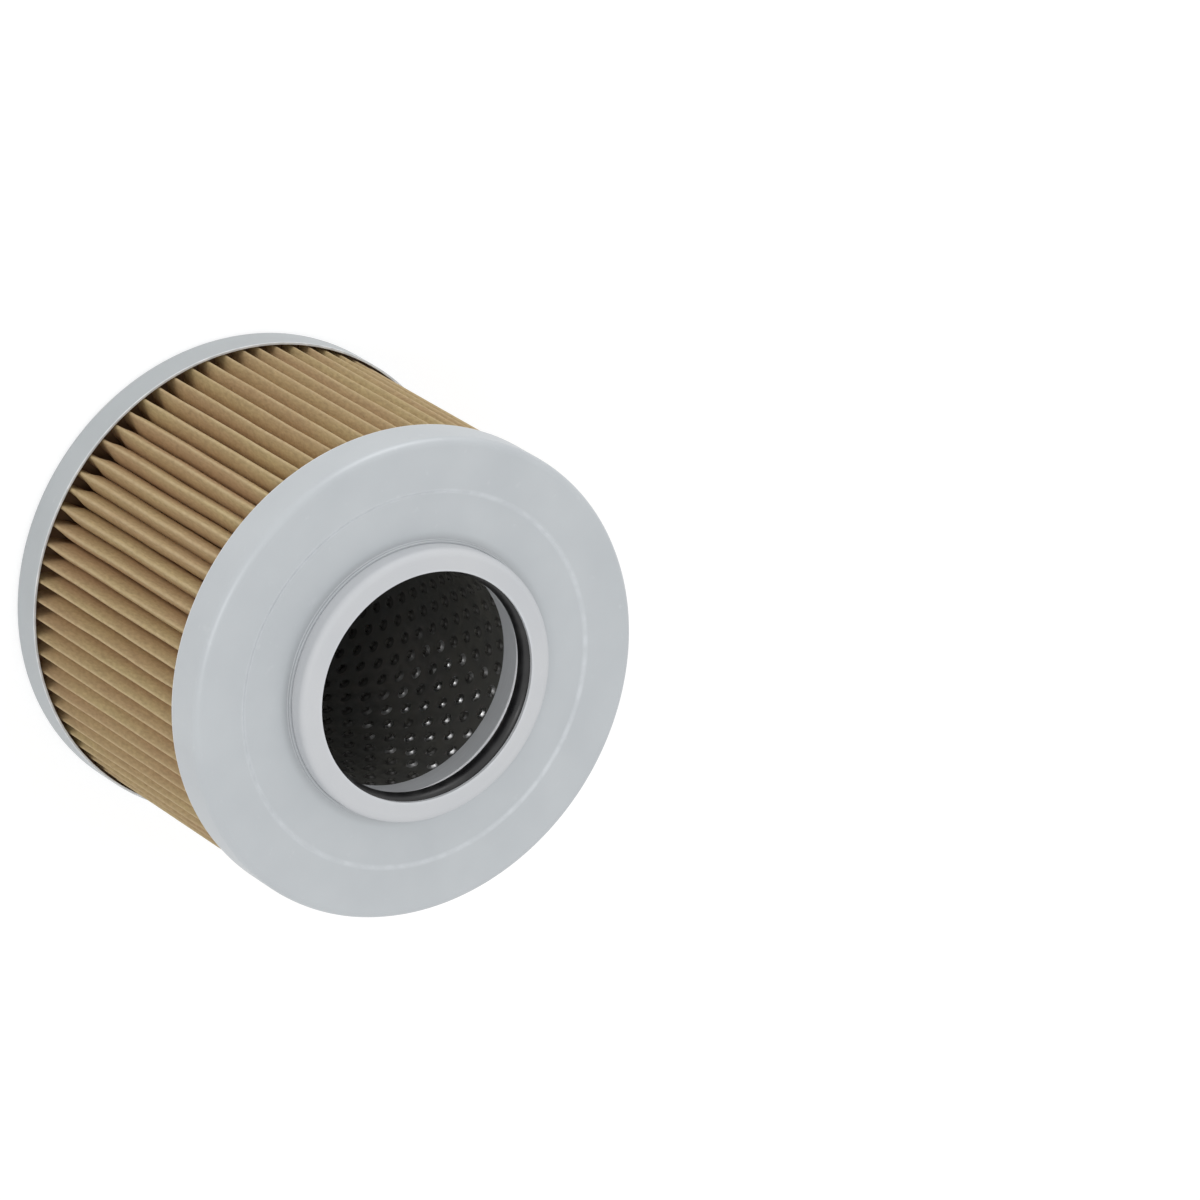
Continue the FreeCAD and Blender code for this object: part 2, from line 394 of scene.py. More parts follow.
def end_geometry_tree(tree, geometry, material, chosen=None, other_material=None):
    """Every tree ends in real faces with a material, and chosen faces can take another."""
    real = step(tree, "GeometryNodeRealizeInstances", {"Geometry": geometry}).outputs[0]
    inputs = {"Geometry": real, "Material": material}
    dressed = step(tree, "GeometryNodeSetMaterial", inputs).outputs[0]
    if chosen is not None:
        inputs = {"Geometry": dressed, "Selection": chosen, "Material": other_material}
        dressed = step(tree, "GeometryNodeSetMaterial", inputs).outputs[0]
    feed(tree, tree.nodes.new("NodeGroupOutput").inputs[0], dressed)


def grown(name, tree, values):
    """Object whose mesh the tree makes, with the modifier applied and gone."""
    seed_mesh = bpy.data.meshes.new(name + "_start")
    maker = bpy.data.objects.new(name + "_maker", seed_mesh)
    bpy.context.scene.collection.objects.link(maker)
    modifier = maker.modifiers.new("Maker", "NODES")
    modifier.node_group = tree
    for item in tree.interface.items_tree:
        if item.in_out == "INPUT":
            modifier[item.identifier] = values[item.name]
    graph = bpy.context.evaluated_depsgraph_get()
    data = bpy.data.meshes.new_from_object(maker.evaluated_get(graph))
    data.name = name
    maker.modifiers.remove(modifier)
    bpy.data.objects.remove(maker)
    piece = bpy.data.objects.new(name, data)
    bpy.context.scene.collection.objects.link(piece)
    print(name, len(data.polygons), "faces")
    return piece


def thicken(piece, thickness):
    """Gives a surface its thickness, half to each side, as real faces."""
    solid = piece.modifiers.new("Thickness", "SOLIDIFY")
    solid.thickness = thickness
    solid.offset = 0.0
    solid.use_even_offset = False
    graph = bpy.context.evaluated_depsgraph_get()
    data = bpy.data.meshes.new_from_object(piece.evaluated_get(graph))
    piece.modifiers.remove(solid)
    piece.data = data


# %% [markdown]
# ## Finishes: the basics
# All finishes are procedural. Patterns read Object coordinates, which are metres here, so a
# noise scale of 1 / size gives spots of that size. What is the same all over a piece is set
# on the shader itself.

# %% Start a material
def new_finish(name, roughness, metallic=0.0):
    """Material with a Principled shader. Returns it with its tree, shader and coordinates."""
    material = bpy.data.materials.new(name)
    material.use_nodes = True
    tree = material.node_tree
    shader = tree.nodes["Principled BSDF"]
    shader.inputs["Roughness"].default_value = roughness
    shader.inputs["Metallic"].default_value = metallic
    place = tree.nodes.new("ShaderNodeTexCoord").outputs["Object"]
    return material, tree, shader, place


def spots(tree, place, size, detail=2.0):
    """Noise from 0 to 1 with spots of about this size."""
    inputs = {"Vector": place, "Scale": 1 / size, "Detail": detail}
    return step(tree, "ShaderNodeTexNoise", inputs).outputs["Fac"]


def grey(level):
    """Colour without a hue."""
    return level, level, level, 1


def blend(tree, amount, first, second):
    """Colour between two, by an amount from 0 to 1."""
    node = step(tree, "ShaderNodeMix", {"Factor": amount}, {"data_type": "RGBA"})
    colours = [socket for socket in node.inputs if socket.type == "RGBA"]
    feed(tree, colours[0], first)
    feed(tree, colours[1], second)
    return [socket for socket in node.outputs if socket.type == "RGBA"][0]


def between(tree, value, low, high, to_low=0.0, to_high=1.0):
    """Value moved from one range to another, and held inside it."""
    inputs = {"Value": value, "From Min": low, "From Max": high,
              "To Min": to_low, "To Max": to_high}
    return step(tree, "ShaderNodeMapRange", inputs, {"clamp": True}).outputs["Result"]


def bump(tree, shader, height, distance, strength=1.0):
    """Relief of so many metres from a height between 0 and 1."""
    inputs = {"Height": height, "Distance": distance, "Strength": strength}
    relief = step(tree, "ShaderNodeBump", inputs)
    feed(tree, shader.inputs["Normal"], relief.outputs["Normal"])


# %% [markdown]
# ## Zinc plated sheet
# The caps are steel sheet with a thin grey plating. It is smooth but not polished: it shows
# no picture of the room, only a soft change of tone. Broad clouds vary the tone a little,
# fine grain breaks the gloss, and handling has rubbed faint paler specks into it. A bend that
# stands up shows an uneven pale line, partly wear and partly a painted highlight, and the cut
# edge of a skirt is pale too, partly bare metal and partly a painted highlight. Round the
# crease at the foot of a raised edge the sheet is darkened: painted shade.

# %% Plate the sheet
speck_tone = (0.66, 0.68, 0.70, 1)
grain_tone = (0.42, 0.44, 0.46, 1)
# Tone of the pale line at a bend: partly wear, partly a painted highlight.
worn_and_highlight_tone = (0.71, 0.74, 0.77, 1)
# Tone of the pale cut edge: partly bare metal, partly a painted highlight.
cut_edge_and_highlight_tone = (0.80, 0.82, 0.84, 1)
# Tone of the painted shade in the crease.
crease_shade_tone = (0.33, 0.34, 0.35, 1)


def zinc_plated(name, tones, pale_line_radius, crease_radius, cut_height,
                metallic=0.35, dullness=0.40, pale_line_strength=0.5):
    """Plating between two tones. It has a pale streaked line at the bend of one radius,
    partly wear and partly painted highlight, painted shade round the crease of another, and a
    pale line at the height of the cut edge, partly bare metal and partly painted highlight."""
    material, tree, shader, place = new_finish(name, dullness + 0.05, metallic)
    clouds = spots(tree, place, 22 * mm, 3.0)
    grain = spots(tree, place, 0.5 * mm, 2.0)
    specks = between(tree, spots(tree, place, 3.5 * mm, 4.0), 0.66, 0.76)
    streaks = between(tree, spots(tree, place, 4 * mm, 5.0), 0.40, 0.66, 0.40, 0.85)
    tone = blend(tree, between(tree, clouds, 0.3, 0.7), *tones)
    tone = blend(tree, times(tree, specks, 0.22), tone, speck_tone)
    tone = blend(tree, times(tree, grain, 0.10), tone, grain_tone)

    from_axis = vector(tree, "LENGTH", off_axis(tree, place))
    # Pale streaked line at the bend: partly wear, partly a painted highlight over the bend's
    # shade.
    ridge = between(tree, apart(tree, from_axis, pale_line_radius), 1.0 * mm, 0.2 * mm)
    pale_line = times(tree, times(tree, ridge, streaks), pale_line_strength)
    tone = blend(tree, pale_line, tone, worn_and_highlight_tone)
    # Pale line at the cut edge's height: partly bare metal, partly a painted highlight.
    off_cut = apart(tree, height_of(tree, place), cut_height)
    cut = times(tree, between(tree, off_cut, 0.6 * mm, 0.2 * mm), streaks)
    tone = blend(tree, cut, tone, cut_edge_and_highlight_tone)

    # Painted shade: the sheet is darkened round the crease at the foot of a raised edge.
    past_crease = maths(tree, "SUBTRACT", from_axis, crease_radius)
    begins = between(tree, past_crease, -1.0 * mm, -0.5 * mm)
    ends = between(tree, past_crease, 2.6 * mm, 0.2 * mm)
    in_crease = times(tree, begins, ends)
    crease_shade = times(tree, in_crease, between(tree, clouds, 0.3, 0.7, 0.25, 0.5))
    tone = blend(tree, crease_shade, tone, crease_shade_tone)
    feed(tree, shader.inputs["Base Color"], tone)
    feed(tree, shader.inputs["Roughness"],
         between(tree, clouds, 0.2, 0.8, dullness, dullness + 0.10))
    bump(tree, shader, grain, 0.006 * mm)
    return material


open_tones = (0.500, 0.528, 0.550, 1), (0.540, 0.568, 0.588, 1)
closed_tones = (0.440, 0.468, 0.482, 1), (0.480, 0.508, 0.523, 1)
neck_tones = (0.558, 0.574, 0.596, 1), (0.598, 0.609, 0.626, 1)
# On the open cap the pale line lies on the middle of the step's slope, where it paints a
# highlight over the slope's shade.
open_cap.data.materials.append(zinc_plated(
    "zinc_open_cap", open_tones, step_radius - step_run / 2, neck_hole + cap_sheet,
    cap_low.z, pale_line_strength=0.62))
closed_cap.data.materials.append(zinc_plated(
    "zinc_closed_cap", closed_tones, recess_radius, eyelet_high.x, closed_high.z))
collar.data.materials.append(zinc_plated(
    "zinc_neck", neck_tones, bore_radius, collar_high.x, collar_low.z,
    metallic=0.15, dullness=0.56))

# %% [markdown]
# The sleeve is of plainer steel and sits in the shade of the neck, so it gets a greyer,
# slightly streaked version with turning marks round it. Its bend carries a painted highlight.

# %% Finish the sleeve
plain_steel, tree, shader, place = new_finish("plain_steel_sleeve", 0.48, 0.2)
stretch = vector(tree, "MULTIPLY", place, (0.3, 0.3, 6.0))
streaks = spots(tree, stretch, 1.2 * mm, 3.0)
tone = blend(tree, streaks, (0.52, 0.535, 0.555, 1), (0.68, 0.70, 0.72, 1))
# Painted highlight: a pale band on the sleeve's front bend.
bend_highlight = between(tree, height_of(tree, place), sleeve_high.z - sleeve_bend,
                  sleeve_high.z - 0.5 * sleeve_bend)
tone = blend(tree, bend_highlight, tone, (0.90, 0.91, 0.93, 1))
feed(tree, shader.inputs["Base Color"], tone)
feed(tree, shader.inputs["Roughness"], between(tree, streaks, 0.2, 0.8, 0.42, 0.54))
bump(tree, shader, streaks, 0.004 * mm)
sleeve.data.materials.append(plain_steel)

# %% [markdown]
# ## Rubber
# Nitrile rubber is a soft black with a satin shine, and dusty in places.

# %% Finish the seal
rubber, tree, shader, place = new_finish("nitrile_rubber", 0.34)
dust = spots(tree, place, 6 * mm, 4.0)
skin = spots(tree, place, 0.35 * mm, 2.0)
tone = blend(tree, between(tree, dust, 0.45, 0.8), (0.010, 0.010, 0.011, 1), grey(0.028))
feed(tree, shader.inputs["Base Color"], tone)
feed(tree, shader.inputs["Roughness"], between(tree, dust, 0.3, 0.8, 0.26, 0.44))
bump(tree, shader, skin, 0.008 * mm)
seal.data.materials.append(rubber)

# %% [markdown]
# ## Copper
# Copper is a metal through and through, with its colour in the reflection. Fine rings from
# turning run round the axis, so their height depends on the distance from it.

# %% Finish the eyelet
ring_pitch = 0.22 * mm
copper, tree, shader, place = new_finish("bright_copper", 0.26, 1.0)
from_axis = vector(tree, "LENGTH", off_axis(tree, place))
rings = maths(tree, "SINE", times(tree, from_axis, 2 * math.pi / ring_pitch))
tarnish = spots(tree, place, 2.5 * mm, 4.0)
tone = blend(tree, between(tree, tarnish, 0.35, 0.75), (0.83, 0.47, 0.36, 1),
             (0.66, 0.33, 0.25, 1))
feed(tree, shader.inputs["Base Color"], tone)
feed(tree, shader.inputs["Roughness"], between(tree, tarnish, 0.3, 0.8, 0.22, 0.36))
bump(tree, shader, rings, 0.003 * mm)
eyelet.data.materials.append(copper)

# %% [markdown]
# ## Glue
# Both ends of the paper stand in dark set glue. It is made in the CAD model, so its nodes
# only get a finish: dark brown, with a slow swell where it has crept up the paper.

# %% Finish the glue
glue, tree, shader, place = new_finish("dark_glue", 0.5)
swell = spots(tree, place, 4 * mm, 3.0)
tone = blend(tree, swell, (0.110, 0.062, 0.032, 1), (0.200, 0.115, 0.060, 1))
feed(tree, shader.inputs["Base Color"], tone)
feed(tree, shader.inputs["Roughness"], between(tree, swell, 0.2, 0.8, 0.38, 0.6))
bump(tree, shader, swell, 0.15 * mm)
for node in ("open_end_glue", "closed_end_glue", "seam_glue"):
    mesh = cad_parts[node].data
    mesh.materials.clear()
    mesh.materials.append(glue)

# %% [markdown]
# ## Filter paper
# The paper is a resin treated tan felt. Towards the valleys it is painted redder, a stand-in
# for warm light bounced between the pleats, and each crest carries a pale painted highlight,
# broken up in places. Its flanks carry a fine corrugation across the pleat, which keeps two
# flanks from sticking together. Fibres are a noise drawn out along the pleat, and lie in
# tufts of a coarser one.

# %% Finish the paper
paper_thickness = 0.5 * mm
crest_radius = paper_high.x - paper_thickness / 2
reddish_tan = (0.475, 0.330, 0.180, 1)
yellowish_tan = (0.515, 0.406, 0.204, 1)
fibre_tone = (0.24, 0.155, 0.072, 1)
# Tone of the painted highlight along the crests.
crest_highlight_tone = (0.54, 0.42, 0.245, 1)
# Tone of the painted bounce light in the valleys.
valley_bounce_tone = (0.58, 0.335, 0.165, 1)
rib_pitch = 1.0 * mm

paper, tree, shader, place = new_finish("pleated_filter_paper", 0.85)
depth = maths(tree, "SUBTRACT", paper_high.x, vector(tree, "LENGTH", off_axis(tree, place)))
fibres = spots(tree, vector(tree, "MULTIPLY", place, (1, 1, 0.35)), 0.7 * mm, 4.0)
tufts = spots(tree, vector(tree, "MULTIPLY", place, (1, 1, 0.6)), 1.6 * mm, 3.0)
stains = spots(tree, vector(tree, "MULTIPLY", place, (1, 1, 0.15)), 9 * mm, 3.0)
tan_tone = blend(tree, between(tree, stains, 0.35, 0.65), reddish_tan, yellowish_tan)
grain = maths(tree, "MULTIPLY_ADD", between(tree, fibres, 0.3, 0.7), 0.48,
              times(tree, between(tree, tufts, 0.3, 0.7), 0.16))
tan_tone = blend(tree, grain, tan_tone, fibre_tone)
# Painted highlight: a pale line along each crest, broken up by the tufts.
highlight_mask = times(tree, between(tree, depth, 0.80 * mm, 0.10 * mm),
               between(tree, tufts, 0.35, 0.60, 0.15, 0.60))
crest_tone = blend(tree, highlight_mask, tan_tone, crest_highlight_tone)
# Painted bounce light: redder towards the valleys, and tan again in the inner folds near the
# tube.
valley_bounce = times(tree, between(tree, depth, 1 * mm, 12 * mm),
             between(tree, depth, 34 * mm, 28 * mm))
deep_tone = blend(tree, valley_bounce, crest_tone, valley_bounce_tone)
feed(tree, shader.inputs["Base Color"], deep_tone)

around_rib = times(tree, height_of(tree, place), 2 * math.pi / rib_pitch)
ribs = maths(tree, "MULTIPLY_ADD", maths(tree, "SINE", around_rib), 0.5, 0.5)
ribs = times(tree, ribs, between(tree, depth, 1.2 * mm, 3.0 * mm))
relief = maths(tree, "MULTIPLY_ADD", fibres, 0.35, ribs)
bump(tree, shader, relief, 0.06 * mm)

# %% [markdown]
# ## One pleat
# The real sheet is scored, folded like a fan and bent round the tube. Each pleat bulges like
# a roof, because the folds spring open, and is pinched where it enters the caps. Its ridge is
# a fold with a small radius of its own. One pleat is modelled here as an open strip from
# valley over ridge to valley. The points are closer together in the roof and near the ends.
# Past the ridge the strip runs down again, so the faces there are laid the other way round.
# All of them then look to the same side of the sheet, which is what gives it one thickness.

# %% Model one pleat
pleats = 78
pleat_angle = 2 * math.pi / pleats
pleat_gap = 0.20 * mm
roof_depth = 5.0 * mm
roof_bulge = 1.25
pinched_width = 0.50
pinch_reach = 4.5 * mm
pinch_inside = 2.0 * mm
fold_radius = 0.3 * mm
fold_slope = math.radians(30)
seam_depth = 12 * mm
seam_glue = 0.4 * mm
tube_flats = 48
tube_corner = tube_high.x / math.cos(math.pi / tube_flats)
tube_clearance = 0.3 * mm
valley_radius = tube_corner + tube_clearance + paper_thickness / 2
pleat_depth = crest_radius - valley_radius
roof_start = 1 - roof_depth / pleat_depth
fold_start = 1 - fold_radius * (1 - math.sin(fold_slope)) / pleat_depth
fold_turns = [fold_slope, math.radians(60), math.radians(90)]
flank_climbs = [0.0, 0.012, 0.3, 0.62, roof_start]
roof_climbs = [roof_start + (fold_start - roof_start) * part for part in (0.25, 0.5, 0.75)]
fold_climbs = [1 - fold_radius * (1 - math.sin(turn)) / pleat_depth for turn in fold_turns]
climbs = flank_climbs + roof_climbs + fold_climbs


def smooth(value):
    """Eases from 0 to 1."""
    value = min(max(value, 0.0), 1.0)
    return value * value * (3 - 2 * value)


def pleat_width(height):
    """How far open the pleat is at a height, from the pinched width to 1."""
    inside = min(height - closed_high.z, cap_low.z - height)
    opened = smooth((inside + pinch_inside) / (pinch_reach + pinch_inside))
    return pinched_width + (1 - pinched_width) * opened


def pleat_aside(climb, width):
    """Half the pleat's width at a climb from 0, in the valley, to 1, on the crest."""
    radius = valley_radius + climb * pleat_depth
    border = radius * math.sin(pleat_angle / 2)
    if climb == 0:
        return border
    room = (border - (pleat_gap + paper_thickness) / 2) * width
    if climb <= roof_start:
        return room
    if climb >= fold_start:
        up = 1 - (1 - climb) * pleat_depth / fold_radius
        return fold_radius * math.sqrt(max(1 - up * up, 0.0))
    eaves = fold_radius * math.cos(fold_slope)
    up = (climb - roof_start) / (fold_start - roof_start)
    return eaves + (room - eaves) * (1 - up ** roof_bulge)


def seam_aside(climb, width):
    """The same at the seam, where the sheet's two ends stand side by side."""
    leg = (seam_glue + paper_thickness) / 2
    end_of_leg = 1 - seam_depth / pleat_depth
    if climb >= end_of_leg:
        return leg
    return leg + (pleat_aside(0, width) - leg) * (1 - climb / end_of_leg) ** 3


def strip(name, aside, open_crest=False, rows=26):
    """Strip along the pleat, as an object that the geometry tree copies."""
    tall = paper_high.z - paper_low.z
    mesh = bmesh.new()
    previous = None
    for row in range(rows + 1):
        height = paper_low.z + tall * (1 - math.cos(math.pi * row / rows)) / 2
        width = pleat_width(height)
        sides = []
        for side in (-1, 1):
            line = []
            for climb in climbs:
                radius = valley_radius + climb * pleat_depth
                across = side * aside(climb, width)
                along = math.sqrt(radius ** 2 - across ** 2)
                line.append(mesh.verts.new((along, across, height)))
            sides.append(line)
        if not open_crest:
            mesh.verts.remove(sides[1].pop())
            sides[1].append(sides[0][-1])
        if previous:
            for line, before, order in zip(sides, previous, (1, -1)):
                for point in range(len(line) - 1):
                    corners = before[point], before[point + 1], line[point + 1], line[point]
                    mesh.faces.new(corners[::order])
        previous = sides
    return finished(name, mesh)


pleat_strip = strip("one_pleat", pleat_aside)
seam_strip = strip("seam_pleat", seam_aside, True)
seam_turn = Matrix.Rotation(math.pi / 2, 4, "Z")
seam_strip.data.transform(seam_turn)
pleat_strip.data.transform(seam_turn)

# %% [markdown]
# ## Folding the sheet
# A Geometry Nodes tree copies the pleat round the axis, joins neighbours at their valleys,
# and then leans each pleat a little to one side, lets it wander along its length and sinks
# its crest a little. All three fade out in the valleys, so the sheet stays in one piece. The
# seam is a strip of its own. It is thinner than a pleat, so its neighbours spring over and
# close up to it, each 0.6 times as far as the one before.

# %% Fold the paper
tree, given = new_geometry_tree("Fold the paper", {
    "Pleat": "NodeSocketObject",
    "Seam pleat": "NodeSocketObject",
    "Pleats": "NodeSocketInt",
    "Valley radius": "NodeSocketFloat",
    "Crest radius": "NodeSocketFloat",
    "Lean": "NodeSocketFloat",
    "Wander": "NodeSocketFloat",
    "Wander length": "NodeSocketFloat",
    "Sag": "NodeSocketFloat",
    "Closing up": "NodeSocketFloat",
    "Seed": "NodeSocketInt",
    "Paper": "NodeSocketMaterial",
})
pleat_shape = step(tree, "GeometryNodeObjectInfo", {"Object": given["Pleat"]})
seam_shape = step(tree, "GeometryNodeObjectInfo", {"Object": given["Seam pleat"]})
index = tree.nodes.new("GeometryNodeInputIndex").outputs[0]
copies = maths(tree, "SUBTRACT", given["Pleats"], 1.0)
points = step(tree, "GeometryNodePoints", {"Count": copies}).outputs[0]
share = maths(tree, "DIVIDE", maths(tree, "ADD", index, 1.0), given["Pleats"])
turn = step(tree, "ShaderNodeCombineXYZ", {"Z": times(tree, share, 2 * math.pi)})
ring = step(tree, "GeometryNodeInstanceOnPoints", {
    "Points": points,
    "Instance": pleat_shape.outputs["Geometry"],
    "Rotation": turn.outputs[0],
}).outputs[0]
numbered = step(tree, "GeometryNodeStoreNamedAttribute",
                {"Geometry": ring, "Name": "pleat", "Value": maths(tree, "ADD", index, 1.0)},
                {"data_type": "INT", "domain": "INSTANCE"}).outputs[0]
joined = tree.nodes.new("GeometryNodeJoinGeometry")
tree.links.new(seam_shape.outputs["Geometry"], joined.inputs[0])
tree.links.new(numbered, joined.inputs[0])
real = step(tree, "GeometryNodeRealizeInstances", {"Geometry": joined.outputs[0]}).outputs[0]
sheet = step(tree, "GeometryNodeMergeByDistance",
             {"Geometry": real, "Distance": 0.01 * mm}).outputs[0]
number = step(tree, "GeometryNodeInputNamedAttribute", {"Name": "pleat"},
              {"data_type": "INT"}).outputs["Attribute"]
position = tree.nodes.new("GeometryNodeInputPosition").outputs[0]
outward = vector(tree, "NORMALIZE", off_axis(tree, position))
aside = vector(tree, "CROSS_PRODUCT", (0, 0, 1), outward)
climb = step(tree, "ShaderNodeMapRange", {
    "Value": vector(tree, "LENGTH", off_axis(tree, position)),
    "From Min": given["Valley radius"],
    "From Max": given["Crest radius"],
}).outputs["Result"]
lean = step(tree, "FunctionNodeRandomValue",
            {"ID": number, "Seed": given["Seed"], 2: -1.0, 3: 1.0}, {"data_type": "FLOAT"})
lean = times(tree, lean.outputs[1], given["Lean"])
noise_row = 3.7
along = step(tree, "ShaderNodeCombineXYZ", {
    "X": maths(tree, "DIVIDE", height_of(tree, position), given["Wander length"]),
    "Y": times(tree, number, noise_row),
}).outputs[0]
wave = step(tree, "ShaderNodeTexNoise", {"Vector": along, "Scale": 1.0, "Detail": 1.0})
wave = maths(tree, "SUBTRACT", wave.outputs["Fac"], 0.5)
wander = times(tree, wave, given["Wander"])
fading = 0.6
to_end = maths(tree, "SUBTRACT", given["Pleats"], number)
onward = maths(tree, "POWER", fading, to_end)
back = times(tree, maths(tree, "POWER", fading, number),
             maths(tree, "GREATER_THAN", number, 0.5))
closing = times(tree, maths(tree, "SUBTRACT", onward, back), given["Closing up"])
sideways = maths(tree, "ADD", maths(tree, "ADD", lean, wander), closing)
sideways = times(tree, sideways, climb)
drop = step(tree, "FunctionNodeRandomValue",
            {"ID": number, "Seed": maths(tree, "ADD", given["Seed"], 1.0)},
            {"data_type": "FLOAT"})
drop = times(tree, drop.outputs[1], given["Sag"])
inward = times(tree, times(tree, drop, climb), -1.0)
offset = vector(tree, "ADD", vector(tree, "SCALE", aside, sideways),
                vector(tree, "SCALE", outward, inward))
moved = step(tree, "GeometryNodeSetPosition", {"Geometry": sheet, "Offset": offset})
end_geometry_tree(tree, moved.outputs[0], given["Paper"])

folded_paper = grown("folded_paper", tree, {
    "Pleat": pleat_strip,
    "Seam pleat": seam_strip,
    "Pleats": pleats,
    "Valley radius": valley_radius,
    "Crest radius": crest_radius,
    "Lean": 0.30 * mm,
    "Wander": 0.8 * mm,
    "Wander length": 34 * mm,
    "Sag": 0.2 * mm,
    "Closing up": 2.2 * mm,
    "Seed": 4,
    "Paper": paper,
})
for shape in (pleat_strip, seam_strip):
    bpy.data.objects.remove(shape)
thicken(folded_paper, paper_thickness)
folded_paper.data.set_sharp_from_angle(angle=math.radians(50))
stands_for(folded_paper, "pleated_paper")
print("paper:", len(folded_paper.data.polygons), "faces with both sides")

# %% [markdown]
# ## Dark coated sheet, and its raised edges
# The tube is coated nearly black. The punch leaves a raised edge round every hole. In a zone
# on one side near the neck, which the small lamp reaches through the bore, many of these
# edges are bare metal and show as small bright points in the dark; elsewhere they stay dark.
# The zone's side is a direction from the axis.

# %% Finish the tube
coat, tree, shader, place = new_finish("dark_coated_sheet", 0.38, 0.2)
patches = spots(tree, place, 9 * mm, 4.0)
oil = spots(tree, place, 0.8 * mm, 3.0)
tone = blend(tree, patches, (0.085, 0.087, 0.088, 1), (0.135, 0.130, 0.110, 1))
feed(tree, shader.inputs["Base Color"], tone)
feed(tree, shader.inputs["Roughness"], between(tree, patches, 0.25, 0.75, 0.30, 0.48))
bump(tree, shader, oil, 0.01 * mm)

raised_edge, tree, shader, place = new_finish("raised_edge", 0.30)
burr = spots(tree, place, 0.9 * mm, 3.0)
# The bare, glinting edges lie in a zone facing this side, from this height up, which the
# small lamp reaches through the bore.
glint_side = math.radians(82)
outward = vector(tree, "NORMALIZE", off_axis(tree, place))
to_side = (math.cos(glint_side), math.sin(glint_side), 0)
facing = step(tree, "ShaderNodeVectorMath", {0: outward, 1: to_side},
              {"operation": "DOT_PRODUCT"}).outputs["Value"]
highlight_mask = times(tree, between(tree, facing, 0.84, 0.92),
               between(tree, height_of(tree, place), 52 * mm, 64 * mm))
chance = between(tree, spots(tree, place, 5 * mm, 1.0), 0.40, 0.48)
highlight_mask = times(tree, highlight_mask, chance)
bare = blend(tree, between(tree, burr, 0.35, 0.65), grey(0.55), grey(0.90))
feed(tree, shader.inputs["Base Color"], blend(tree, highlight_mask, (0.045, 0.044, 0.041, 1), bare))
feed(tree, shader.inputs["Metallic"], highlight_mask)
bump(tree, shader, burr, 0.05 * mm)

# %% [markdown]
# ## Cells of the perforated sheet
# The holes lie in staggered rows. A cell with one twelve-sided hole can be laid like a
# brick, if the points on its upper and lower sides repeat at every half of a cell. The cell
# is a chain of twelve-point rings: in from the cell's sides to the hole, through the sheet,
# and out again over the hole's raised edge. The edge rises inwards, the way the punch went,
# and gets steeper towards the hole. A second, plain cell closes the sheet above and below.

# %% Model the cells
holes_round = 32
hole_rows = 15
hole_radius = 1.15 * mm
cell_width = 2 * math.pi * tube_high.x / holes_round
cell_height = 6.4 * mm
plain_below = 1.6 * mm
edge_profile = [(0, -0.75 * mm), (0.55 * mm, -0.12 * mm), (0.80 * mm, 0)]
first_angle = math.radians(3)
half_width = cell_width / 2
half_height = cell_height / 2


def pairs(line, closed):
    """Each point of a line with the next one."""
    return list(zip(line, line[1:] + line[:1] if closed else line[1:]))


def chained(mesh, lines, closed):
    """Faces between each line of points and the next."""
    for line, onward in zip(lines, lines[1:]):
        for near, far in zip(pairs(line, closed), pairs(onward, closed)):
            mesh.faces.new(near + far[::-1])


def mark_sharp(mesh, lines, closed):
    """Sharp edges along lines of points."""
    for line in lines:
        for pair in pairs(line, closed):
            mesh.edges.get(pair).smooth = False


mesh = bmesh.new()
quarter_side = [(half_width, half_height), (half_width / 2, half_height), (0, half_height)]
upper = [(half_width, 0)] + quarter_side + [(-x, y) for x, y in quarter_side[1::-1]]
border = upper + [(-x, -y) for x, y in upper]
circle = [(math.cos(turn * math.pi / 6), math.sin(turn * math.pi / 6)) for turn in range(12)]
outlines = [(border, 1, 0), (circle, hole_radius, 0)]
outlines += [(circle, hole_radius + aside, rise - cap_sheet) for aside, rise in edge_profile]
outlines += [(border, 1, -cap_sheet)]
rings = [[mesh.verts.new((x * scale, y * scale, height)) for x, y in outline]
         for outline, scale, height in outlines]
chained(mesh, rings, True)
mark_sharp(mesh, rings[1:3], True)
punched_cell = finished("punched_cell", mesh)

mesh = bmesh.new()
columns = [side * half_width / 2 for side in range(-2, 3)]
lines = [[mesh.verts.new((x, y, height)) for x in columns]
         for y, height in ((0, 0), (1, 0), (1, -cap_sheet), (0, -cap_sheet))]
chained(mesh, lines, False)
mark_sharp(mesh, lines[1:3], False)
plain_cell = finished("plain_cell", mesh)

# %% [markdown]
# ## Punching and rolling the tube
# The tree does what the workshop does. It marks the faces of each raised edge, which lie
# beyond the sheet's inner side, and lays the cells flat in staggered rows. It puts a row of
# plain cells along both long sides, and rolls the whole sheet up: the distance along the
# sheet becomes an angle. The marked faces take the finish of the raised edges.

# %% Roll the tube
tree, given = new_geometry_tree("Punch and roll the tube", {
    "Punched cell": "NodeSocketObject",
    "Plain cell": "NodeSocketObject",
    "Holes round": "NodeSocketInt",
    "Rows": "NodeSocketInt",
    "Cell width": "NodeSocketFloat",
    "Cell height": "NodeSocketFloat",
    "Sheet": "NodeSocketFloat",
    "First row": "NodeSocketFloat",
    "Bottom": "NodeSocketFloat",
    "Top": "NodeSocketFloat",
    "Radius": "NodeSocketFloat",
    "First angle": "NodeSocketFloat",
    "Coat": "NodeSocketMaterial",
    "Edge finish": "NodeSocketMaterial",
})
index = tree.nodes.new("GeometryNodeInputIndex").outputs[0]
position = tree.nodes.new("GeometryNodeInputPosition").outputs[0]
on_sheet = step(tree, "ShaderNodeSeparateXYZ", {"Vector": position}).outputs
count = times(tree, given["Holes round"], given["Rows"])
row = maths(tree, "FLOOR", maths(tree, "DIVIDE", index, given["Holes round"]))
column = maths(tree, "MODULO", index, given["Holes round"])
